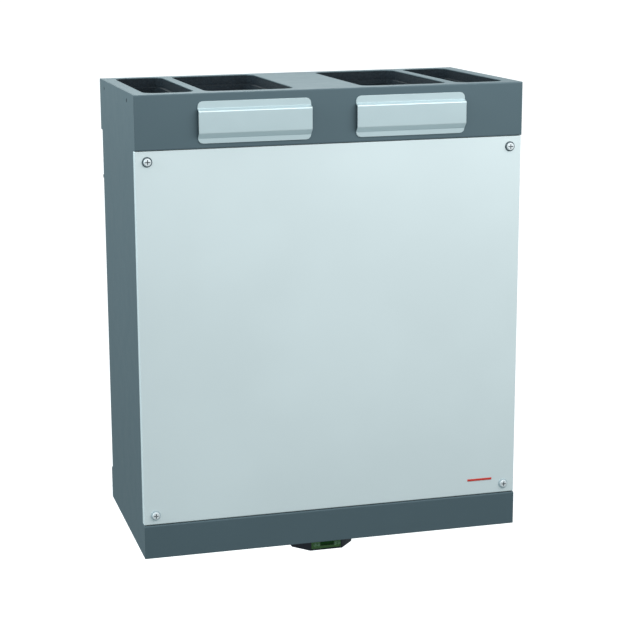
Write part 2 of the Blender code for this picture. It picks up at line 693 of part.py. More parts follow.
def make_fan(side, dark, housing, metal, steel):
    """Centrifugal fan: scroll, inlet ring, impeller on its shaft, and a motor inside its hub."""
    word = side_name(side)
    centre = (side * FAN_X, 0.0, FAN_Z)
    scroll = node(f"fan_scroll_{word}",
                  flipped(prism(scroll_outline(0), FAN_FRONT, FAN_BACK, "Y"), side),
                  housing, centre, smooth=True)
    cavity = prism(scroll_outline(SCROLL_WALL), FAN_FRONT + SCROLL_WALL,
                   FAN_BACK - SCROLL_WALL, "Y")
    inlet = prism(circle(0, 0, 42, 24), FAN_FRONT - 5, FAN_FRONT + 5, "Y")
    cut(scroll, flipped(cavity, side), inlet)
    bell = [(41.5, FAN_FRONT + 4), (38.5, FAN_FRONT + 4), (38.5, FAN_FRONT - 2),
            (42, FAN_FRONT - 7), (52, FAN_FRONT - 9), (54, FAN_FRONT - 7), (54, FAN_FRONT - GAP),
            (41.5, FAN_FRONT - GAP)]
    node(f"fan_inlet_ring_{word}", turned(bell, "Y"), dark, centre, smooth=True)

    disc = FAN_BACK - 14.0
    front = FAN_FRONT + 8.0
    hub = [(0, disc - 36), (20, disc - 36), (26, disc - 30), (26, disc - 3), (IMPELLER, disc - 3),
           (IMPELLER, disc), (22.5, disc), (22.5, disc - 28), (SHAFT + GAP, disc - 28),
           (SHAFT + GAP, disc - 33), (0, disc - 33)]
    impeller = node(f"fan_impeller_{word}", turned(hub, "Y"), dark, centre, smooth=True)
    blades = []
    for blade in range(BLADES):
        arc = []
        for step in range(BLADE_STEPS + 1):
            reach = step / BLADE_STEPS
            radius = 33 + (IMPELLER - 33.5) * reach
            angle = side * -0.75 * reach
            arc.append(Vector((radius * math.cos(angle), radius * math.sin(angle))))
        blades.append(spun(prism(strip(arc, 1.6), front + 1.5, disc - 1.5, "Y"),
                           360 * blade / BLADES))
    fuse(impeller, grouped(blades))
    shroud = [(40, front - 1), (42, front - 1), (IMPELLER, front + 8), (IMPELLER, front + 10),
              (40, front + 2)]
    fuse(impeller, turned(shroud, "Y"))

    wall = FAN_BACK - SCROLL_WALL - GAP
    stator = [(SHAFT + GAP, disc - 26), (17, disc - 26), (20, disc - 23), (20, disc + 1),
              (32, disc + 3), (32, wall), (SHAFT + GAP, wall)]
    node(f"fan_motor_{word}", turned(stator, "Y"), metal, centre, smooth=True)
    rod = [(0, disc - 33 + GAP), (SHAFT, disc - 33 + GAP), (SHAFT, wall - 1), (0, wall - 1)]
    node(f"fan_shaft_{word}", turned(rod, "Y", 12), steel, centre, smooth=True)


# ---------------------------------------------------------------- condensate and bypass

def make_condensate(plastic, pipe_plastic):
    """Tray under the exhaust side of the exchanger, and the drain pipe out of the base."""
    low = BASE_TOP + 7
    tray = node("condensate_tray", block(TRAY[0], TRAY[1], TRAY_FRONT, TRAY_BACK, low, low + 28),
                plastic)
    lower = rounded(TRAY[0] + 14, TRAY[1] - 14, TRAY_FRONT + 12, TRAY_BACK - 12, 6)
    upper = rounded(TRAY[0] + 2, TRAY[1] - 2, TRAY_FRONT + 2, TRAY_BACK - 2, 8)
    cut(tray, tapered(lower, upper, low + 3, low + 30),
        prism(circle(*DRAIN, 12.4, 20), low - 5, low + 10))
    bore = 10.4
    pipe = [(bore, low + 2), (12, low + 2), (12, -GAP - 2), (DRAIN_RADIUS + 7, -GAP - 2),
            (DRAIN_RADIUS + 7, -GAP - 4), (DRAIN_RADIUS, -GAP - 4), (DRAIN_RADIUS, -DRAIN_DROP),
            (DRAIN_RADIUS - 2.6, -DRAIN_DROP), (DRAIN_RADIUS - 2.6, -6), (bore, -4)]
    shape = moved(turned(pipe, "Z", 16), DRAIN[0], DRAIN[1])
    node("drain_pipe", shape, pipe_plastic, smooth=True)


def make_bypass(dark, light):
    """Butterfly damper behind the exchanger: frame, blade on its own stub shaft, actuator."""
    x0, x1 = DAMPER
    centre = (0.0, DAMPER_Y, DAMPER_Z)
    inner = DAMPER_HALF - 5
    ring = prism([(x0, -DAMPER_HALF), (x1, -DAMPER_HALF), (x1, DAMPER_HALF), (x0, DAMPER_HALF)],
                 -6, 6, holes=[[(x0 + 5, -inner), (x1 - 5, -inner), (x1 - 5, inner),
                                (x0 + 5, inner)]])
    frame = node("bypass_frame", ring, dark, centre)
    cut(frame, prism(circle(0, 0, 3.0), x0 - 5, x1 + 5, "X"))
    shaft = prism(circle(0, 0, 2.6), x0 + 1, x1 + 8, "X")
    blade = node("bypass_blade", shaft, light, centre)
    fuse(blade, block(x0 + 5.6, x1 - 5.6, -inner + 0.6, inner - 0.6, -0.9, 0.9))
    x2 = x1 + 1.4
    body = block(x2, x2 + 40, -18, 18, -9.5, 20)
    actuator = node("bypass_actuator", body, light, centre)
    cut(actuator, prism(circle(0, 0, 3.0), x2 - 5, x2 + 12, "X"))
    fuse(actuator, block(x2 + 36, x2 + 46, -8, 8, 2, 12))


# ---------------------------------------------------------------- electronics

def make_controller(box_plastic, board_green, parts_dark, terminal):
    """Control box in the base: tray, lid, circuit board and what is soldered to it."""
    x0, x1 = BOX
    y0, y1 = BOX_DEPTH
    z0, z1 = BOX_HEIGHT
    box = node("controller_box", block(x0, x1, y0, y1, z0, z1), box_plastic)
    cut(box, block(x0 + 2, x1 - 2, y0 + 2, y1 - 2, z0 + 2, z1 + 5),
        block(x0 + 30, x0 + 60, y1 - 5, y1 + 5, z0 + 18, z1 + 5))
    lid = node("controller_lid", block(x0, x1, y0, y1, z1 + GAP, z1 + GAP + 2), box_plastic)
    slots = [block(x, x + 3, y0 + 30, y1 - 30, z1 - 5, z1 + 8) for x in range(-60, 30, 8)]
    cut(lid, grouped(slots))
    top = z0 + 2 + 4
    plate = [(x0 + 6, y0 + 6), (x1 - 6, y0 + 6), (x1 - 6, y1 - 6), (x0 + 6, y1 - 6)]
    holes = [circle(x, y, 1.7, 10) for x in (x0 + 11, x1 - 11) for y in (y0 + 11, y1 - 11)]
    node("control_board", prism(plate, top - 1.6, top, holes=holes), board_green)
    foot = top + GAP
    supply = node("power_supply", block(-172, -124, -266, -226, foot, foot + 28), parts_dark)
    ribs = [block(x, x + 2, -270, -220, foot + 6, foot + 30) for x in range(-168, -126, 6)]
    cut(supply, grouped(ribs))
    row = block(-176, -116, -178, -164, foot, foot + 14)
    strip_block = node("terminal_block", row, terminal)
    ways = [block(x, x + 6, -180, -172, foot + 3, foot + 10) for x in range(-172, -120, 9)]
    cut(strip_block, grouped(ways))


def make_display(dark, green, lcd_green, key):
    """Control panel under the base: housing, green fascia, display and four buttons."""
    front = DISPLAY_FRONT
    corner = front + 24.0
    lower = [(DISPLAY_HALF, front), (46.5, corner), (48, DISPLAY_BACK),
             (-48, DISPLAY_BACK), (-46.5, corner), (-DISPLAY_HALF, front)]
    upper = [(DISPLAY_HALF, front), (50, corner), (52, DISPLAY_BACK + 3),
             (-52, DISPLAY_BACK + 3), (-50, corner), (-DISPLAY_HALF, front)]
    housing = node("display_housing", tapered(lower, upper, -DISPLAY_DROP, -GAP), dark)
    half = DISPLAY_HALF - 1.4
    cut(housing, block(-half, half, front + 1.8, front + 70, -DISPLAY_DROP + 3, 5))
    cut(housing, block(-half, half, front - 5, front + 5, *WINDOW_HEIGHT))
    face = front + 0.4
    screen = [(LCD[0], LCD_HEIGHT[0]), (LCD[1], LCD_HEIGHT[0]), (LCD[1], LCD_HEIGHT[1]),
              (LCD[0], LCD_HEIGHT[1])]
    edge = half - GAP
    plate = rounded(-edge, edge, WINDOW_HEIGHT[0] + GAP, WINDOW_HEIGHT[1] - GAP, 0.8, 2)
    holes = [circle(x, BUTTON_Z, BUTTON_RADIUS + 0.25, 14) for x in BUTTONS]
    node("display_fascia", prism(plate, face, face + 1.2, "Y", holes=[screen, *holes]), green)
    x0, x1 = LCD
    z0, z1 = LCD_HEIGHT
    node("display_lcd", block(x0 + GAP, x1 - GAP, face + 0.5, face + 3, z0 + GAP, z1 - GAP),
         lcd_green)
    for number, x in enumerate(BUTTONS, 1):
        cap = [(0, -0.9), (BUTTON_RADIUS - 0.4, -0.9), (BUTTON_RADIUS, -0.5), (BUTTON_RADIUS, 1.5),
               (BUTTON_RADIUS + 0.5, 1.5), (BUTTON_RADIUS + 0.5, 2.3), (0, 2.3)]
        node(f"display_button_{number}", turned(cap, "Y", 16), key, (x, face + 0.1, BUTTON_Z),
             smooth=True)


def make_gland(plastic):
    """Cable gland in the underside, for the mains lead, and its nut inside the base."""
    x, y = GLAND
    body = [(5.2, 12), (10, 12), (10, -GAP), (13.5, -GAP), (13.5, -7), (11, -9), (11, -16),
            (8.5, -19), (5.2, -19)]
    node("cable_gland", moved(turned(body, "Z", 16), x, y), plastic, smooth=True)
    node("gland_nut", prism(circle(x, y, 14, 6), SHEET + GAP, 6, holes=[circle(x, y, 10.3)]),
         plastic)


for leftover in list(bpy.data.objects):
    bpy.data.objects.remove(leftover, do_unlink=True)

DATUM = bpy.data.objects.new("cabinet_datum", None)
DATUM.location = (0.0, 0.0, -RAIL_Z * MM)
bpy.context.scene.collection.objects.link(DATUM)

casing_paint = finish("casing_paint", (92, 108, 115), 0.5)
panel_paint = finish("panel_paint", (205, 218, 222), 0.4)
cap_silver = finish("cap_silver", (186, 202, 207), 0.38, 0.3)
black_foam = finish("black_foam", (26, 28, 32), 0.9)
black_rubber = finish("black_rubber", (36, 38, 40), 0.75)
screw_steel = finish("screw_steel", (190, 195, 200), 0.3, 1.0)
zinc_steel = finish("zinc_steel", (150, 155, 158), 0.45, 1.0)
core_plastic = finish("exchanger_plastic", (205, 215, 220), 0.35)
grey_plastic = finish("grey_plastic", (90, 96, 102), 0.5)
dark_plastic = finish("dark_plastic", (32, 34, 44), 0.45)
white_plastic = finish("white_plastic", (222, 224, 222), 0.45)
fleece_white = finish("filter_fleece", (228, 230, 226), 0.95)
motor_metal = finish("motor_metal", (165, 168, 170), 0.35, 1.0)
board_mask = finish("board_green", (30, 92, 58), 0.4)
fascia_green = finish("fascia_green", (70, 108, 62), 0.4)
display_green = finish("display_green", (16, 52, 14), 0.15)
key_grey = finish("key_grey", (120, 150, 118), 0.5)

make_hood(casing_paint)
make_base(casing_paint)
make_back(casing_paint)
make_wall_fixing(zinc_steel, black_rubber)
make_front_panel(panel_paint)
make_panel_fittings(screw_steel, black_rubber, black_foam)
make_top_foam(black_foam)
make_inner_foam(black_foam)
for which in (-1, 1):
    make_side(which, casing_paint)
    make_side_foam(which, black_foam)
    make_filter(which, cap_silver, grey_plastic, fleece_white)
    make_fan(which, dark_plastic, grey_plastic, motor_metal, screw_steel)
make_exchanger(core_plastic, white_plastic, black_rubber)
make_condensate(grey_plastic, dark_plastic)
make_bypass(dark_plastic, white_plastic)
make_controller(white_plastic, board_mask, dark_plastic, white_plastic)
make_display(dark_plastic, fascia_green, display_green, key_grey)
make_gland(dark_plastic)
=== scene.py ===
"""Looks of the wall-hung heat recovery unit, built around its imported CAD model."""
import json
import math

import bmesh
import bpy
from mathutils import Matrix, Vector


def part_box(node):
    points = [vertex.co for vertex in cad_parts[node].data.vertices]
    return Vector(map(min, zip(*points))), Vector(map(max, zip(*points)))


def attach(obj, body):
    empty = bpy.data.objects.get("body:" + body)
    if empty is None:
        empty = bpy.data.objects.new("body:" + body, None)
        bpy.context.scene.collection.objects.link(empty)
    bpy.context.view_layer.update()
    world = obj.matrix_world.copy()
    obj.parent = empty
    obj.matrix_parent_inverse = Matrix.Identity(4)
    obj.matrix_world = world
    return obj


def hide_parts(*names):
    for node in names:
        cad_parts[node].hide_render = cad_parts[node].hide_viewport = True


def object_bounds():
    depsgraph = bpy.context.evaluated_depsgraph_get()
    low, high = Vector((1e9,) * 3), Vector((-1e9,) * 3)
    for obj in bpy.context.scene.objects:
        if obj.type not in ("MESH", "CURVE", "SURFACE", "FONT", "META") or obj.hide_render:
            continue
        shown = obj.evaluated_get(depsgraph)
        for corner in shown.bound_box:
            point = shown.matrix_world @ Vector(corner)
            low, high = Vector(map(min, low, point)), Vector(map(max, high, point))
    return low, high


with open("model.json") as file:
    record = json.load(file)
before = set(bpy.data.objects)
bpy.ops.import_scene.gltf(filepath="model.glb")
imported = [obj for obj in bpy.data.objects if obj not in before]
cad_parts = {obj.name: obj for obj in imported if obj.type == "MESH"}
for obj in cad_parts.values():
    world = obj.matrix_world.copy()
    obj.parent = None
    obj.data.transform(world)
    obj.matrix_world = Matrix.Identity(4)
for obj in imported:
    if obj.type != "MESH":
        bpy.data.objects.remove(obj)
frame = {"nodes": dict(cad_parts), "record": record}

MM = 0.001
CAD_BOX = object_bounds()
NODES = frame["nodes"]
SLOTS = {part["node"]: part["material_slot"] for part in frame["record"]["subparts"]}

SHARP_ANGLE = 35            # degrees between two faces from which their edge stays sharp
HAIR = 0.00002              # gap that keeps a piece off the face behind it, in metres

# Camera, in the frame of the CAD model
CAMERA_PLACE = (-0.6661, -2.5075, 0.3598)
CAMERA_HEADING = 13.612     # degrees to the right of straight ahead
CAMERA_DIP = 12.164
CAMERA_ROLL = -0.730
CAMERA_LENS = 96.915        # on a 36 mm wide sensor
CAMERA_SHIFT = (0.1047, -0.0228)

# Captive screws of the front panel, in millimetres; -Y is out of the panel
CAPTIVE_HEAD = -4.6         # front of the head in the CAD model, from the face of the panel
CAPTIVE_FACE = -4.42        # front of the flat head here
CAPTIVE_LENGTH = 22.0
THREAD_PITCH = 0.9
RECESS_REACH = 4.4
RECESS_DEPTH = 1.1

# Other fastenings, in metres
CLINCH_GAP = 0.0003         # from the front panel to the nuts in the flanges behind it
SIDE_SCREW_FRONT = 0.0535   # from the front edge of the side sheet
SIDE_SCREW_REAR = 0.040     # from the wall
SIDE_SCREW_DROP = 0.012     # below the top of the side sheet
BACK_SCREW_X = (-0.18, 0.18)
BACK_SCREW_Z = (-0.357, -0.037)
HANGER_RIVET_X = (-0.18, 0.0, 0.18)
HANGER_RIVET_DROP = 0.012   # below the top of the hanger strip
HANGER_SHEET = 0.0015
FAN_BOLT_RING = 0.058       # radius of the ring of screws round each fan inlet

# Ribs on the exchanger plate, in millimetres
RIBS = {"outer": (9.0, 0.0), "inner": (40.0, 8.0)}      # inset from the edge, drop of the top
SPOKE_START = 0.42          # as a part of the way to the corner
SPOKE_END = 22.0            # short of the corner

# Fittings under the base, in millimetres
GLAND_FLATS = 27.6          # across the hexagon
GLAND_GRIP = [11.1, 11.7] * 18      # radius of hollows and ribs in turn
DRAIN_RADIUS = 16.1
DRAIN_RIDGES = (-9.0, -14.0, -19.0)

# Red bar on the front panel: its place in metres, its half length and half height in millimetres
BADGE = (0.226, -0.434)
BADGE_REACH = (19, 1.6)

DISPLAY_MARGIN = 1.1        # of the printed rim round the display, in millimetres

# Surroundings, in metres and watts
FLOOR_DROP = 0.9            # floor below the lowest point of the unit
FLOOR_SIZE = 240.0
FLOOR_GLOW = 0.45
LAMP_TARGET = (0.0, -0.145, 0.0)
LAMPS = (                   # name, place, width and height, power, colour
    ("key", (0.32, -1.1, 0.55), (1.5, 0.5), 9.0, (1.0, 1.0, 1.0)),
    ("fill", (-1.9, -0.1, 0.8), (1.2, 1.2), 28.0, (0.8, 0.95, 1.0)),
    ("top", (0.1, 1.1, 1.4), (1.2, 1.2), 16.0, (0.9, 1.0, 1.0)),
)
SKY_TINT = (0.82, 0.96, 1.0)
# Brightness of the sky by height, from straight down at -1 to straight up at 1
SKY = ((-1.0, 0.6), (-0.35, 0.22), (-0.12, 0.35), (0.0, 0.75), (0.2, 1.05), (0.45, 0.5),
       (1.0, 0.6))


# ---------------------------------------------------------------- shapes

def circle(radius, sides):
    """Regular outline about the origin."""
    angles = [2 * math.pi * side / sides for side in range(sides)]
    return [(radius * math.cos(a), radius * math.sin(a)) for a in angles]


def turned(profile, sides=32):
    """Solid of revolution about Y from closed (radius, y) points; radius 0 lies on the axis."""
    shape = bmesh.new()
    rings = []
    for radius, y in profile:
        outline = circle(radius, sides) if radius else [(0, 0)]
        rings.append([shape.verts.new((u, y, v)) for u, v in outline])
    for first, second in zip(rings, rings[1:] + rings[:1]):
        if len(first) == len(second) == 1:
            continue
        for side in range(sides):
            corners = [first[side - 1], first[side]] if len(first) > 1 else [first[0]]
            corners += [second[side], second[side - 1]] if len(second) > 1 else [second[0]]
            shape.faces.new(corners)
    return shape


def ring_through(outlines):
    """Ring-shaped solid whose section runs through outlines of the same number of points."""
    shape = bmesh.new()
    loops = [[shape.verts.new(point) for point in outline] for outline in outlines]
    for first, second in zip(loops, loops[1:] + loops[:1]):
        for side in range(len(first)):
            shape.faces.new((first[side - 1], first[side], second[side], second[side - 1]))
    return shape


def collar(radii, inner, low, high):
    """Ring about Y, between two heights, whose outer radius changes from side to side."""
    angles = [2 * math.pi * side / len(radii) for side in range(len(radii))]
    bore = [inner] * len(radii)
    outlines = [[(r * math.cos(a), y, r * math.sin(a)) for r, a in zip(reach, angles)]
                for reach, y in ((radii, low), (radii, high), (bore, high), (bore, low))]
    return ring_through(outlines)


def box_shape(low, high):
    """Rectangular solid between two corners."""
    shape = bmesh.new()
    bmesh.ops.create_cube(shape, size=1.0)
    size = [high[i] - low[i] for i in range(3)]
    middle = [(high[i] + low[i]) / 2 for i in range(3)]
    bmesh.ops.scale(shape, verts=shape.verts, vec=size)
    bmesh.ops.translate(shape, verts=shape.verts, vec=middle)
    return shape


def softened(shape, radius):
    """The same shape with every edge rounded."""
    bmesh.ops.bevel(shape, geom=list(shape.edges), offset=radius, segments=2,
                    profile=0.5, affect="EDGES", clamp_overlap=True)
    return shape


def piece(name, shape, material, body="root", at=(0, 0, 0), turn=None):
    """New visual piece from a shape in millimetres, riding on a body."""
    bmesh.ops.recalc_face_normals(shape, faces=shape.faces)
    bmesh.ops.scale(shape, verts=shape.verts, vec=(MM, MM, MM))
    mesh = bpy.data.meshes.new(name)
    shape.to_mesh(mesh)
    shape.free()
    mesh.shade_smooth()
    mesh.set_sharp_from_angle(angle=math.radians(SHARP_ANGLE))
    mesh.materials.append(material)
    obj = bpy.data.objects.new(name, mesh)
    bpy.context.scene.collection.objects.link(obj)
    obj.matrix_world = Matrix.Translation(at) @ (turn or Matrix.Identity(4))
    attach(obj, body)
    return obj


def cut(obj, shape):
    """Take a shape, in millimetres about the object's own origin, away from it."""
    bmesh.ops.recalc_face_normals(shape, faces=shape.faces)
    bmesh.ops.scale(shape, verts=shape.verts, vec=(MM, MM, MM))
    mesh = bpy.data.meshes.new("cutter")
    shape.to_mesh(mesh)
    shape.free()
    tool = bpy.data.objects.new("cutter", mesh)
    bpy.context.scene.collection.objects.link(tool)
    tool.matrix_world = obj.matrix_world
    modifier = obj.modifiers.new("cut", "BOOLEAN")
    modifier.object = tool
    modifier.operation = "DIFFERENCE"
    bpy.context.view_layer.update()
    graph = bpy.context.evaluated_depsgraph_get()
    result = bpy.data.meshes.new_from_object(obj.evaluated_get(graph))
    obj.modifiers.clear()
    obj.data = result
    bpy.data.objects.remove(tool)


# ---------------------------------------------------------------- materials

def srgb(red, green, blue):
    """Linear RGBA from 8-bit display values."""
    channels = [value / 255 for value in (red, green, blue)]
    linear = [c / 12.92 if c <= 0.04045 else ((c + 0.055) / 1.055) ** 2.4 for c in channels]
    return (*linear, 1.0)


class Surface:
    """Principled material whose maps come from procedural nodes in object space."""

    def __init__(self, name, metallic=0.0, coat=0.0, specular=0.5, sheen=0.0,
                 tint=(1.0, 1.0, 1.0, 1.0)):
        self.material = bpy.data.materials.new(name)
        self.material.use_nodes = True
        self.tree = self.material.node_tree
        self.shader = self.tree.nodes["Principled BSDF"]
        self.shader.inputs["Metallic"].default_value = metallic
        self.shader.inputs["Coat Weight"].default_value = coat
        self.shader.inputs["Specular IOR Level"].default_value = specular
        self.shader.inputs["Specular Tint"].default_value = tint
        self.shader.inputs["Sheen Weight"].default_value = sheen
        self.place = self.tree.nodes.new("ShaderNodeTexCoord").outputs["Object"]
        self.relief = None

    def add(self, kind, inputs=None, **settings):
        """New node with its settings, and its inputs as values or links."""
        node = self.tree.nodes.new(kind)
        for key, value in settings.items():
            setattr(node, key, value)
        for key, value in (inputs or {}).items():
            if isinstance(value, bpy.types.NodeSocket):
                self.tree.links.new(value, node.inputs[key])
            else:
                node.inputs[key].default_value = value
        return node

    def stretched(self, x, y, z):
        """Object coordinates scaled along each axis."""
        return self.add("ShaderNodeMapping", {"Vector": self.place, "Scale": (x, y, z)}).outputs[0]

    def noise(self, scale, detail=2.0, rough=0.5, place=None):
        """Soft noise with so many features to a metre."""
        inputs = {"Vector": place or self.place, "Scale": scale, "Detail": detail,
                  "Roughness": rough}
        return self.add("ShaderNodeTexNoise", inputs).outputs["Fac"]

    def cells(self, scale, feature="F1", output="Distance", randomness=1.0):
        """Voronoi cells, so many to a metre."""
        inputs = {"Vector": self.place, "Scale": scale, "Randomness": randomness}
        return self.add("ShaderNodeTexVoronoi", inputs, feature=feature).outputs[output]

    def curve(self, value, low, high, to_low=0.0, to_high=1.0):
        """Value moved from one range to another, and held inside it."""
        inputs = {"Value": value, "From Min": low, "From Max": high, "To Min": to_low,
                  "To Max": to_high}
        return self.add("ShaderNodeMapRange", inputs).outputs["Result"]

    def math(self, operation, first, second):
        """One arithmetic step."""
        return self.add("ShaderNodeMath", {0: first, 1: second}, operation=operation).outputs[0]

    def mix(self, factor, first, second):
        """Blend of two colours."""
        node = self.add("ShaderNodeMix", data_type="RGBA")
        for index, value in ((0, factor), (6, first), (7, second)):
            if isinstance(value, bpy.types.NodeSocket):
                self.tree.links.new(value, node.inputs[index])
            else:
                node.inputs[index].default_value = value
        return node.outputs[2]

    def edges(self, radius, low=0.0, high=0.35):
        """1 on outer and inner corners, 0 on flat stretches."""
        soft = self.add("ShaderNodeBevel", {"Radius": radius}, samples=4).outputs[0]
        true = self.add("ShaderNodeNewGeometry").outputs["Normal"]
        same = self.add("ShaderNodeVectorMath", {0: soft, 1: true}, operation="DOT_PRODUCT")
        return self.curve(same.outputs["Value"], 1.0 - low, 1.0 - high)

    def rounded(self, radius):
        """Shade sharp corners as if they had this radius."""
        self.relief = self.add("ShaderNodeBevel", {"Radius": radius}, samples=4).outputs[0]

    def bump(self, height, depth):
        """Add a relief of this depth in metres to the surface."""
        inputs = {"Height": height, "Distance": depth, "Strength": 1.0}
        if self.relief:
            inputs["Normal"] = self.relief
        self.relief = self.add("ShaderNodeBump", inputs).outputs[0]

    def done(self, colour, roughness):
        """Connect the maps and hand over the material."""
        self.tree.links.new(colour, self.shader.inputs["Base Color"])
        self.tree.links.new(roughness, self.shader.inputs["Roughness"])
        if self.relief:
            self.tree.links.new(self.relief, self.shader.inputs["Normal"])
        return self.material


def lighter(colour, factor):
    """The same colour, brighter or darker."""
    return (*[min(1.0, channel * factor) for channel in colour[:3]], 1.0)


def powder_coat(name, colour, roughness, flake=0.0, metallic=0.0, grain=0.6):
    """Baked powder paint: fine orange peel, tiny flecks, soft clouds, and a patchy painted
    highlight on the corners.
    """
    coat = Surface(name, metallic=metallic, specular=0.5, tint=(0.72, 0.9, 1.0, 1.0))
    clouds = coat.noise(5.0, 3.0)
    peel = coat.noise(900.0, 2.0)
    fleck = coat.cells(2600.0)
    tone = coat.mix(coat.curve(clouds, 0.35, 0.65), lighter(colour, 0.98), lighter(colour, 1.02))
    tone = coat.mix(coat.curve(fleck, 0.12, 0.02, 0.0, 0.16 + flake), tone, lighter(colour, 1.7))
    # Corners painted lighter in patches: a painted highlight.
    highlight_patches = coat.curve(coat.noise(60.0, 4.0), 0.42, 0.62, 0.1, 0.5)
    edge_highlight = coat.math("MULTIPLY", coat.edges(0.0012, 0.02, 0.25), highlight_patches)
    tone = coat.mix(edge_highlight, tone, lighter(colour, 1.45))
    shine = coat.curve(coat.noise(35.0, 4.0, 0.6), 0.3, 0.7, roughness - 0.02, roughness + 0.03)
    coat.rounded(0.0007)
    coat.bump(peel, 0.00004 * grain)
    return coat.done(tone, shine)


def bead_foam(name, colour):
    """Expanded foam: welded beads with thin dark joints and slightly different tones."""
    foam = Surface(name, specular=0.3)
    beads = foam.cells(260.0, "DISTANCE_TO_EDGE")
    shade = foam.cells(260.0, "F1", "Color")
    value = foam.add("ShaderNodeSeparateColor", {"Color": shade}).outputs[0]
    tone = foam.mix(foam.curve(value, 0.0, 1.0, 0.0, 1.0), lighter(colour, 0.85),
                    lighter(colour, 1.2))
    tone = foam.mix(foam.curve(beads, 0.0, 0.09, 0.45, 0.0), tone, lighter(colour, 0.5))
    shine = foam.curve(foam.noise(500.0, 2.0), 0.3, 0.7, 0.6, 0.85)
    foam.bump(foam.curve(beads, 0.0, 0.22), 0.0003)
    foam.bump(foam.noise(1400.0, 2.0), 0.00006)
    return foam.done(tone, shine)


def moulded(name, colour, roughness=0.45, coat=0.0):
    """Moulded plastic: spark-eroded grain, faint flow marks, and corners painted brighter as a
    painted highlight.
    """
    plastic = Surface(name, coat=coat)
    flow = plastic.noise(1.0, 3.0, place=plastic.stretched(12.0, 30.0, 12.0))
    tone = plastic.mix(plastic.curve(flow, 0.3, 0.7), lighter(colour, 0.93), lighter(colour, 1.06))
    # Corners painted brighter: a painted highlight.
    tone = plastic.mix(plastic.math("MULTIPLY", plastic.edges(0.0008, 0.02, 0.3), 0.3), tone,
                       lighter(colour, 1.7))
    shine = plastic.curve(plastic.noise(90.0, 3.0), 0.3, 0.7, roughness - 0.06, roughness + 0.07)
    plastic.rounded(0.0005)
    plastic.bump(plastic.noise(1500.0, 3.0), 0.00005)
    return plastic.done(tone, shine)


def rubber_skin(name, colour):
    """Dull rubber with a dusty bloom."""
    rubber = Surface(name, specular=0.35)
    bloom = rubber.curve(rubber.noise(45.0, 5.0, 0.65), 0.45, 0.7, 0.0, 0.35)
    tone = rubber.mix(bloom, colour, lighter(colour, 2.2))
    shine = rubber.curve(bloom, 0.0, 0.35, 0.62, 0.85)
    rubber.bump(rubber.noise(1100.0, 3.0), 0.00008)
    return rubber.done(tone, shine)


def turned_steel(name, colour, roughness=0.28):
    """Plated steel with fine tool marks and a few dull spots."""
    steel = Surface(name, metallic=1.0)
    marks = steel.noise(1.0, 3.0, place=steel.stretched(300.0, 300.0, 4200.0))
    spots = steel.noise(420.0, 4.0, 0.6)
    tone = steel.mix(steel.curve(spots, 0.5, 0.75, 0.0, 0.5), colour, lighter(colour, 0.6))
    shine = steel.curve(marks, 0.3, 0.7, roughness - 0.06, roughness + 0.12)
    steel.rounded(0.0003)
    steel.bump(marks, 0.00002)
    return steel.done(tone, shine)


def driven_steel(name, colour, recess_shade, face, floor, reach):
    """Bright screw about its own Y axis, with painted shade in the recess between two heights."""
    steel = Surface(name, metallic=0.3)
    split = steel.add("ShaderNodeSeparateXYZ", {"Vector": steel.place}).outputs
    off_axis = steel.add("ShaderNodeCombineXYZ", {"X": split["X"], "Z": split["Z"]}).outputs[0]
    radius = steel.add("ShaderNodeVectorMath", {0: off_axis}, operation="LENGTH")
    # Painted shade in the cross recess: darker between the face and the floor of the recess,
    # within its reach.
    below = steel.curve(split["Y"], face + 0.00012, face + 0.0003)
    above = steel.curve(split["Y"], floor + 0.0003, floor + 0.0006, 1.0, 0.0)
    within = steel.curve(radius.outputs["Value"], reach, reach + 0.0003, 1.0, 0.0)
    painted_shade_mask = steel.math("MULTIPLY", steel.math("MULTIPLY", below, above), within)
    marks = steel.noise(1.0, 3.0, place=steel.stretched(900.0, 900.0, 4200.0))
    tone = steel.mix(steel.curve(marks, 0.3, 0.7), lighter(colour, 0.9), colour)
    tone = steel.mix(painted_shade_mask, tone, recess_shade)
    shine = steel.curve(marks, 0.3, 0.7, 0.3, 0.42)
    steel.rounded(0.0002)
    steel.bump(marks, 0.00002)
    return steel.done(tone, shine)


def galvanised(name, colour):
    """Hot-dip zinc: spangles of different brightness, and a dull skin."""
    zinc = Surface(name, metallic=1.0)
    spangle = zinc.add("ShaderNodeSeparateColor", {"Color": zinc.cells(140.0, "F1", "Color")})
    grey = spangle.outputs[0]
    tone = zinc.mix(grey, lighter(colour, 0.75), lighter(colour, 1.2))
    stain = zinc.curve(zinc.noise(18.0, 5.0, 0.6), 0.55, 0.75, 0.0, 0.4)
    tone = zinc.mix(stain, tone, lighter(colour, 0.55))
    shine = zinc.curve(grey, 0.0, 1.0, 0.34, 0.56)
    zinc.bump(zinc.noise(700.0, 3.0), 0.00004)
    return zinc.done(tone, shine)


def plate_pack(name, colour):
    """Thin translucent sheets: fine ribs across the stack, slightly milky."""
    pack = Surface(name, coat=0.2)
    ribs = pack.add("ShaderNodeTexWave", {"Vector": pack.place, "Scale": 90.0, "Distortion": 0.4,
                    "Detail": 1.0}, bands_direction="DIAGONAL").outputs["Fac"]
    cloudy = pack.noise(30.0, 4.0)
    tone = pack.mix(pack.curve(ribs, 0.2, 0.8), lighter(colour, 0.78), colour)
    tone = pack.mix(pack.curve(cloudy, 0.4, 0.7, 0.0, 0.35), tone, lighter(colour, 1.15))
    shine = pack.curve(cloudy, 0.3, 0.7, 0.25, 0.4)
    pack.bump(ribs, 0.0004)
    return pack.done(tone, shine)


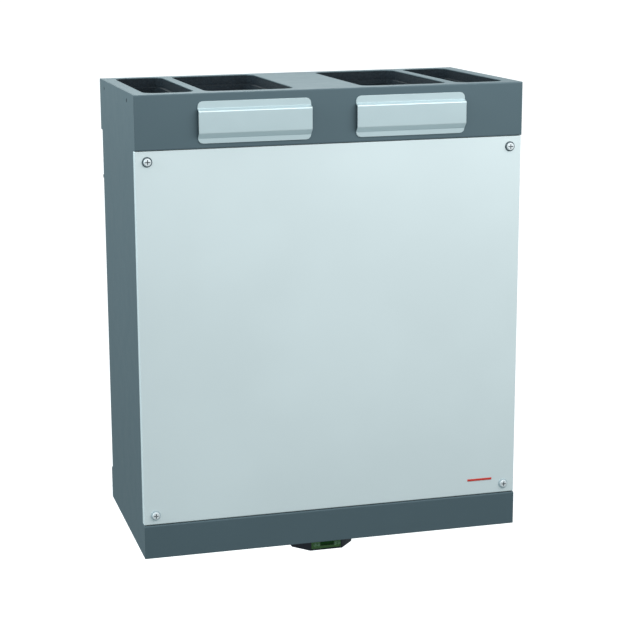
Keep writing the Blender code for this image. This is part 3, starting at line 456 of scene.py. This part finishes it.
def fleece(name, colour):
    """Matted filter fibres in several directions, with a little dust between them."""
    felt = Surface(name, specular=0.2, sheen=0.4)
    first = felt.noise(1.0, 4.0, place=felt.stretched(300.0, 2600.0, 2600.0))
    second = felt.noise(1.0, 4.0, place=felt.stretched(2200.0, 420.0, 420.0))
    fibres = felt.math("MAXIMUM", first, second)
    dust = felt.curve(felt.noise(40.0, 4.0), 0.5, 0.75, 0.0, 0.3)
    tone = felt.mix(felt.curve(fibres, 0.45, 0.7), lighter(colour, 0.82), colour)
    tone = felt.mix(dust, tone, lighter(colour, 0.7))
    shine = felt.curve(fibres, 0.4, 0.7, 0.85, 0.98)
    felt.bump(fibres, 0.0003)
    return felt.done(tone, shine)


def webbing(name, colour):
    """Woven band: crossing rows of yarn, each painted lighter on its crown and darker between
    rows, a painted highlight and painted shade.
    """
    band = Surface(name, specular=0.2, sheen=0.3)
    rows = [band.add("ShaderNodeTexWave", {"Vector": band.place, "Scale": 260.0,
                     "Distortion": 0.3}, bands_direction=way).outputs["Fac"] for way in ("X", "Z")]
    yarn = band.math("MAXIMUM", *rows)
    # Crowns painted lighter as highlight, gaps between yarns painted darker as shade.
    tone = band.mix(band.curve(yarn, 0.35, 0.9), lighter(colour, 0.55), lighter(colour, 1.15))
    shine = band.curve(band.noise(300.0, 3.0), 0.3, 0.7, 0.7, 0.9)
    band.bump(yarn, 0.0002)
    return band.done(tone, shine)


def cast_metal(name, colour):
    """Die-cast aluminium: pebbled skin and dull patches."""
    cast = Surface(name, metallic=1.0)
    patches = cast.curve(cast.noise(70.0, 4.0), 0.4, 0.7)
    tone = cast.mix(patches, lighter(colour, 0.85), lighter(colour, 1.1))
    shine = cast.curve(patches, 0.0, 1.0, 0.3, 0.5)
    cast.rounded(0.0005)
    cast.bump(cast.noise(900.0, 4.0), 0.0001)
    return cast.done(tone, shine)


def circuit_board(name, colour):
    """Solder mask over copper tracks and plated holes."""
    board = Surface(name, coat=0.4)
    tracks = board.add("ShaderNodeTexBrick", {"Vector": board.place,
                       "Scale": 160.0, "Mortar Size": 0.06, "Mortar Smooth": 0.2,
                       "Brick Width": 1.3, "Row Height": 0.5}, offset=0.37).outputs["Fac"]
    pads = board.curve(board.cells(420.0, randomness=0.6), 0.2, 0.14)
    tone = board.mix(tracks, lighter(colour, 0.75), lighter(colour, 1.6))
    tone = board.mix(board.math("MULTIPLY", pads, 0.5), tone, srgb(190, 180, 140))
    shine = board.curve(board.noise(120.0, 3.0), 0.3, 0.7, 0.3, 0.45)
    board.bump(tracks, 0.00005)
    return board.done(tone, shine)


def printed_film(name, colour, dark):
    """Membrane over the control panel: printed colour, darker near its corners and edges."""
    film = Surface(name, coat=0.35)
    mottle = film.noise(380.0, 3.0)
    tone = film.mix(film.curve(mottle, 0.35, 0.65), lighter(colour, 0.85), lighter(colour, 1.15))
    # Darker near corners and edges, through a corner mask.
    tone = film.mix(film.edges(0.0016, 0.02, 0.3), tone, dark)
    shine = film.curve(film.noise(200.0, 3.0), 0.3, 0.7, 0.28, 0.42)
    film.bump(film.noise(2200.0, 2.0), 0.00002)
    return film.done(tone, shine)


def liquid_crystal(name, colour):
    """Unlit display: glossy dark window with a faint grid of cells."""
    glass = Surface(name, coat=0.15, specular=0.25)
    grid = glass.add("ShaderNodeTexBrick", {"Vector": glass.place,
                     "Scale": 900.0, "Mortar Size": 0.04, "Brick Width": 0.5,
                     "Row Height": 0.5}, offset=0.0).outputs["Fac"]
    glow = glass.noise(160.0, 2.0)
    tone = glass.mix(glass.curve(glow, 0.3, 0.7), lighter(colour, 0.8), lighter(colour, 1.4))
    tone = glass.mix(grid, tone, lighter(colour, 0.6))
    shine = glass.curve(glow, 0.3, 0.7, 0.08, 0.16)
    return glass.done(tone, shine)


CASING = powder_coat("casing_paint", srgb(78, 94, 100), 0.42, grain=0.3)
PANEL = powder_coat("panel_paint", srgb(212, 222, 223), 0.36, grain=0.5)
SILVER = powder_coat("cap_silver", srgb(192, 207, 210), 0.36, flake=0.2, metallic=0.45)
FOAM = bead_foam("black_foam", srgb(18, 30, 38))
RUBBER = rubber_skin("black_rubber", srgb(36, 38, 41))
STEEL = turned_steel("screw_steel", srgb(205, 212, 216))
# The third colour is the painted shade in the cross recess.
SCREW = driven_steel("captive_screw_steel", srgb(238, 243, 245), srgb(44, 56, 64),
                     face=CAPTIVE_FACE * MM, floor=(CAPTIVE_FACE + RECESS_DEPTH) * MM,
                     reach=(RECESS_REACH + 0.2) * MM)
DARK_STEEL = turned_steel("dark_steel", srgb(62, 70, 76), 0.4)
ZINC = galvanised("zinc_steel", srgb(150, 156, 160))
CORE = plate_pack("exchanger_plastic", srgb(205, 215, 221))
WHITE = moulded("white_plastic", srgb(222, 224, 222))
GREY = moulded("grey_plastic", srgb(90, 96, 102), 0.5)
DARK = moulded("dark_plastic", srgb(32, 34, 46), 0.42)
FLEECE = fleece("filter_fleece", srgb(228, 230, 226))
CAST = cast_metal("motor_metal", srgb(165, 168, 170))
WEBBING = webbing("strap_webbing", srgb(52, 78, 112))
BOARD = circuit_board("board_green", srgb(30, 92, 58))
FASCIA = printed_film("fascia_green", srgb(64, 106, 48), srgb(28, 40, 34))
LCD = liquid_crystal("display_green", srgb(10, 66, 8))
KEY = moulded("key_grey", srgb(112, 148, 112), 0.5)
# One washer in two copies: painted shaded (dark) for the upper screws and lit (pale) for the
# lower.
SHADED_WASHER = moulded("washer_shaded", srgb(70, 84, 90), 0.55)
LIT_WASHER = moulded("washer_lit", srgb(176, 192, 197), 0.5)
RED = moulded("badge_red", srgb(204, 52, 38), 0.35, 0.4)
GLYPH = moulded("print_green", srgb(120, 168, 118), 0.45)

FINISHES = {
    "casing_paint": CASING, "panel_paint": PANEL, "cap_silver": SILVER, "black_foam": FOAM,
    "black_rubber": RUBBER, "screw_steel": STEEL, "zinc_steel": ZINC, "exchanger_plastic": CORE,
    "white_plastic": WHITE, "grey_plastic": GREY, "dark_plastic": DARK, "filter_fleece": FLEECE,
    "motor_metal": CAST, "board_green": BOARD, "fascia_green": FASCIA, "display_green": LCD,
    "key_grey": KEY,
}


def finish_cad_nodes():
    """Give every CAD node the material of its slot, and the carrying strap its own weave."""
    for node, slot in SLOTS.items():
        NODES[node].data.materials.clear()
        NODES[node].data.materials.append(FINISHES[slot])
    NODES["exchanger_strap"].data.materials[0] = WEBBING


# ---------------------------------------------------------------- screws and rivets

def centre_of(node):
    """Middle of a CAD node's box, in metres."""
    low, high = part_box(node)
    return (low + high) / 2


def half_width():
    """Half the width of the cabinet, in metres."""
    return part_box("top_hood")[1].x


def cut_recess(screw, reach, width, depth, face):
    """Cut the tapered cross and centre pit of a Phillips recess towards +Y into a face."""
    for long, short in ((reach, width), (width, reach)):
        wing = box_shape((-long, face - 2, -short), (long, face + depth, short))
        floor = [vertex for vertex in wing.verts if vertex.co.y > face]
        bmesh.ops.scale(wing, verts=floor, vec=(0.72, 1, 0.72))
        cut(screw, wing)
    # The pit goes a little past the floor of the cross, so that no two faces lie in one plane
    pit = turned([(0, face - 2), (width * 2.0, face - 2), (width * 1.5, face + depth * 1.03),
                  (0, face + depth * 1.45)], 16)
    cut(screw, pit)


def panel_screw_shape():
    """Flat pan head, and a shank whose thread ridges stand one pitch apart."""
    rim = [(4.2 + 1.1 * math.cos(a), -2.9 - 1.45 * math.sin(a))
           for a in [math.radians(step * 15) for step in range(7)]]
    y = 6.0
    head = [(0, CAPTIVE_FACE)] + rim[::-1] + [(5.3, -1.5), (2.45, -1.42), (2.45, y)]
    thread = []
    while y + THREAD_PITCH < CAPTIVE_LENGTH - 1.5:
        for radius, part in ((2.05, 0.25), (2.05, 0.4), (2.5, 0.75), (2.5, 0.85)):
            thread.append((radius, y + THREAD_PITCH * part))
        y += THREAD_PITCH
    tip = [(2.0, y + 0.2), (1.6, CAPTIVE_LENGTH), (0, CAPTIVE_LENGTH)]
    return turned(head + thread + tip, 40)


def make_panel_screws():
    """Four captive cross-head screws, each on a ring: one washer painted as a shaded copy, dark,
    above and a lit copy, pale, below.
    """
    for number in (1, 2, 3, 4):
        node = f"front_panel_screw_{number}"
        low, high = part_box(node)
        at = ((low.x + high.x) / 2, low.y - CAPTIVE_HEAD * MM, (low.z + high.z) / 2)
        upper = at[2] > 0
        screw = piece(f"captive_screw_{number}", panel_screw_shape(), SCREW,
                      "front_panel", at)
        cut_recess(screw, RECESS_REACH, width=0.75, depth=RECESS_DEPTH, face=CAPTIVE_FACE)
        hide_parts(node)
        ring = turned([(3.2, -0.05), (7.1, -0.05), (7.1, -0.8), (6.7, -1.3), (3.2, -1.36)], 48)
        # The upper rings take the shaded copy of the washer, the lower rings the lit copy.
        piece(f"screw_ring_{number}", ring, SHADED_WASHER if upper else LIT_WASHER, "front_panel",
              at)
        clip = turned([(2.6, 10.2), (6.4, 10.2), (6.4, 10.9), (5.0, 11.2), (2.6, 11.2)], 32)
        piece(f"screw_clip_{number}", clip, DARK, "front_panel", at)


def small_screw_shape(radius, height, face):
    """Low domed head with a short upright rim, which rises towards -Y from a face."""
    rim = [(radius * math.cos(a), face - height * (0.45 + 0.55 * math.sin(a)))
           for a in [math.radians(step * 15) for step in range(6)]]
    return turned([(0, face), (radius, face)] + rim + [(0, face - height)], 32)


def make_side_screws():
    """Two sunk cross-head screws through each side of the hood."""
    quarter = math.radians(90)
    low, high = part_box("side_panel_left")
    for word, side in (("left", -1), ("right", 1)):
        for place, y in (("front", low.y + SIDE_SCREW_FRONT), ("rear", -SIDE_SCREW_REAR)):
            at = (side * half_width(), y, high.z - SIDE_SCREW_DROP)
            turn = Matrix.Rotation(side * quarter, 4, "Z")
            head = small_screw_shape(radius=2.8, height=0.9, face=1.1)
            screw = piece(f"side_screw_{word}_{place}", head, DARK_STEEL,
                          at=at, turn=turn)
            cut_recess(screw, reach=1.7, width=0.35, depth=0.55, face=0.2)


def make_back_screws():
    """Screws of the back panel and rivets of the hanger strip, seen from behind."""
    turn = Matrix.Rotation(math.pi, 4, "Z")
    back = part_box("back_panel")[1].y
    for number, (x, z) in enumerate([(x, z) for z in BACK_SCREW_Z for x in BACK_SCREW_X], 1):
        head = small_screw_shape(radius=4.4, height=2.0, face=-0.02)
        screw = piece(f"back_screw_{number}", head, STEEL,
                      at=(x, back, z), turn=turn)
        cut_recess(screw, reach=2.6, width=0.5, depth=1.3, face=-2.02)
    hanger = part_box("hanger_strip")
    for number, x in enumerate(HANGER_RIVET_X, 1):
        at = (x, hanger[0].y + HANGER_SHEET, hanger[1].z - HANGER_RIVET_DROP)
        rivet = small_screw_shape(radius=4.2, height=1.5, face=-0.02)
        piece(f"hanger_rivet_{number}", rivet, STEEL, at=at, turn=turn)


def make_clinch_nuts():
    """Threaded inserts pressed into the side flanges, which take the captive screws."""
    for number in (1, 2, 3, 4):
        centre = centre_of(f"front_panel_screw_{number}")
        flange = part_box("front_panel")[1].y + CLINCH_GAP
        nut = turned([(2.7, 0.0), (3.3, -0.25), (3.3, 1.25), (5.2, 1.25), (5.2, 5.2), (4.7, 5.7),
                      (2.7, 5.7)], 32)
        piece(f"clinch_nut_{number}", nut, STEEL,
              at=(centre.x, flange, centre.z))


# ---------------------------------------------------------------- inside

def dressed(name, shape, node, at, turn=None):
    """Fixed piece with the material of a CAD node's slot."""
    slot = SLOTS[node]
    return piece(name, shape, FINISHES[slot], at=at, turn=turn)


def hexagon_rib(tip, rise, width, depth):
    """Raised outline of a lying hexagon, on the side of a face that looks towards -Y."""
    outlines = []
    for inset, y in ((0, 0), (0.4, -depth), (width - 0.4, -depth), (width, 0)):
        t = tip - inset * math.sqrt(2)
        r = rise - inset
        flat = t - r
        corners = [(t, 0), (flat, r), (-flat, r), (-t, 0), (-flat, -r), (flat, -r)]
        outlines.append([(x, y, z) for x, z in corners])
    return ring_through(outlines)


def make_exchanger_ribs():
    """Stiffening ribs on the front plate of the exchanger: two outlines and four spokes."""
    low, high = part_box("exchanger_frame")
    centre = (low + high) / 2
    tip = (high.x - low.x) / 2 / MM
    rise = (high.z - low.z) / 2 / MM
    at = (centre.x, low.y - HAIR, centre.z)
    for name, (inset, drop) in RIBS.items():
        rib = hexagon_rib(tip - inset * math.sqrt(2), rise - inset, width=2.4, depth=0.7)
        upper = [vertex for vertex in rib.verts if vertex.co.z > 0]
        bmesh.ops.translate(rib, verts=upper, vec=(0, 0, -drop))
        dressed(f"exchanger_rib_{name}", rib, "exchanger_frame", at)
    corners = [(tip, 0), (-tip, 0), (tip - rise, -rise), (rise - tip, -rise)]
    for number, (x, z) in enumerate(corners, 1):
        length = math.hypot(x, z)
        low_end = (SPOKE_START * length, -0.6, -1.2)
        high_end = (length - SPOKE_END, 0, 1.2)
        bar = softened(box_shape(low_end, high_end), 0.25)
        turn = Matrix.Rotation(-math.atan2(z, x), 4, "Y")
        dressed(f"exchanger_spoke_{number}", bar, "exchanger_frame", at, turn=turn)


def make_fan_bolts():
    """Four screws through the front plate of each fan housing."""
    for word in ("left", "right"):
        low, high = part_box(f"fan_inlet_ring_{word}")
        centre = (low + high) / 2
        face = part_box(f"fan_scroll_{word}")[0].y
        for number in range(4):
            angle = math.radians(45 + 90 * number)
            at = (centre.x + FAN_BOLT_RING * math.cos(angle), face,
                  centre.z + FAN_BOLT_RING * math.sin(angle))
            head = small_screw_shape(radius=2.6, height=1.8, face=-0.02)
            bolt = piece(f"fan_bolt_{word}_{number + 1}", head, STEEL, at=at)
            cut_recess(bolt, reach=1.6, width=0.35, depth=1.0, face=-1.82)


# ---------------------------------------------------------------- front panel and control panel

def frame_shape(width, height, rim, depth):
    """Flat rectangular frame in X and Z, from y 0 to y -depth."""
    outlines = []
    for inset, y in ((0, 0), (0, -depth), (rim, -depth), (rim, 0)):
        x = width / 2 - inset
        z = height / 2 - inset
        outlines.append([(x, y, z), (-x, y, z), (-x, y, -z), (x, y, -z)])
    return ring_through(outlines)


def make_display_prints():
    """Light rings printed round the buttons, and the rim of the display window."""
    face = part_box("display_fascia")[0].y
    for number in (1, 2, 3, 4):
        centre = centre_of(f"display_button_{number}")
        ring = turned([(2.25, -0.01), (2.25, -0.1), (2.85, -0.1), (2.85, -0.01)], 24)
        piece(f"button_ring_{number}", ring, GLYPH,
              at=(centre.x, face, centre.z))
    low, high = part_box("display_lcd")
    width = (high.x - low.x) / MM + 2 * DISPLAY_MARGIN
    height = (high.z - low.z) / MM + 2 * DISPLAY_MARGIN
    centre = (low + high) / 2
    rim = frame_shape(width, height, rim=0.7, depth=0.25)
    piece("display_rim", rim, FASCIA,
          at=(centre.x, face - HAIR, centre.z))


def make_underside_fittings():
    """Hexagon and grip of the cable gland, and the hose ridges of the drain pipe."""
    upright = Matrix.Rotation(math.radians(90), 4, "X")
    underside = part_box("base_tray")[0].z
    gland = centre_of("cable_gland")
    at = (gland.x, gland.y, underside)
    off_flat = [math.radians(angle % 60 - 30) for angle in range(0, 360, 10)]
    hexagon = [GLAND_FLATS / 2 / math.cos(angle) for angle in off_flat]
    nut = collar(hexagon, inner=13.2, low=-6.6, high=-0.6)
    dressed("gland_hexagon", nut, "cable_gland", at, upright)
    grip = collar(GLAND_GRIP, inner=10.5, low=-15.4, high=-9.6)
    dressed("gland_grip", grip, "cable_gland", at, upright)
    drain = centre_of("drain_pipe")
    at = (drain.x, drain.y, underside)
    crest = DRAIN_RADIUS + 0.8
    for number, y in enumerate(DRAIN_RIDGES, 1):
        profile = [(15.6, y + 1.4), (DRAIN_RADIUS, y + 1.4), (crest, y), (crest, y - 0.5),
                   (15.6, y - 0.5)]
        dressed(f"drain_ridge_{number}", turned(profile, 48), "drain_pipe", at, upright)


def make_badge():
    """Plain red bar near the lower right corner of the front panel, with no lettering."""
    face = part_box("front_panel")[0].y
    reach, rise = BADGE_REACH
    bar = softened(box_shape((-reach, -0.7, -rise), (reach, -0.03, rise)), 0.3)
    piece("panel_badge", bar, RED, "front_panel", at=(BADGE[0], face, BADGE[1]))


# ---------------------------------------------------------------- surroundings

def soft_box(name, place, size, power, colour):
    """Large studio lamp of a certain width and height, turned towards the unit."""
    lamp = bpy.data.lights.new(name, "AREA")
    lamp.shape = "RECTANGLE"
    lamp.size, lamp.size_y = size
    lamp.energy = power
    lamp.color = colour
    obj = bpy.data.objects.new(name, lamp)
    bpy.context.scene.collection.objects.link(obj)
    direction = Vector(LAMP_TARGET) - Vector(place)
    obj.location = place
    obj.rotation_euler = direction.to_track_quat("-Z", "Y").to_euler()


def make_floor():
    """Plain pale floor, well below the unit, which hangs on its rail."""
    shape = bmesh.new()
    bmesh.ops.create_grid(shape, x_segments=1, y_segments=1, size=FLOOR_SIZE / 2)
    mesh = bpy.data.meshes.new("floor")
    shape.to_mesh(mesh)
    shape.free()
    ground = Surface("pale_floor", specular=0.2)
    tone = ground.mix(ground.noise(0.7, 3.0), srgb(243, 243, 243), srgb(250, 250, 250))
    mesh.materials.append(ground.done(tone, ground.curve(ground.noise(2.0), 0.0, 1.0, 0.8, 0.95)))
    floor = bpy.data.objects.new("floor", mesh)
    floor.location = (0, 0, CAD_BOX[0][2] - FLOOR_DROP)
    ground.shader.inputs["Emission Color"].default_value = (1.0, 1.0, 1.0, 1.0)
    ground.shader.inputs["Emission Strength"].default_value = FLOOR_GLOW
    floor.visible_diffuse = False
    floor.visible_glossy = False
    bpy.context.scene.collection.objects.link(floor)


def make_sky():
    """Surrounding light that is bright from the horizon up and dim just below it."""
    world = bpy.data.worlds.new("studio")
    world.use_nodes = True
    tree = world.node_tree
    direction = tree.nodes.new("ShaderNodeTexCoord")
    split = tree.nodes.new("ShaderNodeSeparateXYZ")
    ramp = tree.nodes.new("ShaderNodeValToRGB")
    shift = tree.nodes.new("ShaderNodeMapRange")
    shift.inputs["From Min"].default_value = -1.0
    tree.links.new(direction.outputs["Generated"], split.inputs[0])
    tree.links.new(split.outputs["Z"], shift.inputs["Value"])
    tree.links.new(shift.outputs["Result"], ramp.inputs["Fac"])
    tree.links.new(ramp.outputs["Color"], tree.nodes["Background"].inputs["Color"])
    for height, light in SKY:
        stop = ramp.color_ramp.elements.new((height + 1) / 2)
        stop.color = (*[light * channel for channel in SKY_TINT], 1.0)
    for end in (0, -1):         # the two stops that a new ramp has of its own
        ramp.color_ramp.elements.remove(ramp.color_ramp.elements[end])
    bpy.context.scene.world = world


def make_studio():
    """Sky, a key lamp up in front, a fill from the left, and a lamp over the top."""
    make_sky()
    for lamp in LAMPS:
        soft_box(*lamp)
    bpy.context.scene.view_settings.view_transform = "Standard"


def make_camera():
    """Camera at the viewing angle of a catalogue picture: a little from the left and above."""
    camera = bpy.data.cameras.new("camera")
    camera.lens = CAMERA_LENS
    camera.sensor_width = 36.0
    camera.shift_x, camera.shift_y = CAMERA_SHIFT
    camera.clip_end = 500.0
    obj = bpy.data.objects.new("camera", camera)
    heading = Matrix.Rotation(math.radians(-CAMERA_HEADING), 4, "Z")
    dip = Matrix.Rotation(math.radians(90 - CAMERA_DIP), 4, "X")
    roll = Matrix.Rotation(math.radians(CAMERA_ROLL), 4, "Z")
    obj.matrix_world = Matrix.Translation(CAMERA_PLACE) @ heading @ dip @ roll
    bpy.context.scene.collection.objects.link(obj)
    bpy.context.scene.camera = obj


make_camera()
make_studio()
make_floor()
finish_cad_nodes()
make_panel_screws()
make_side_screws()
make_back_screws()
make_clinch_nuts()
make_exchanger_ribs()
make_fan_bolts()
make_display_prints()
make_underside_fittings()
make_badge()
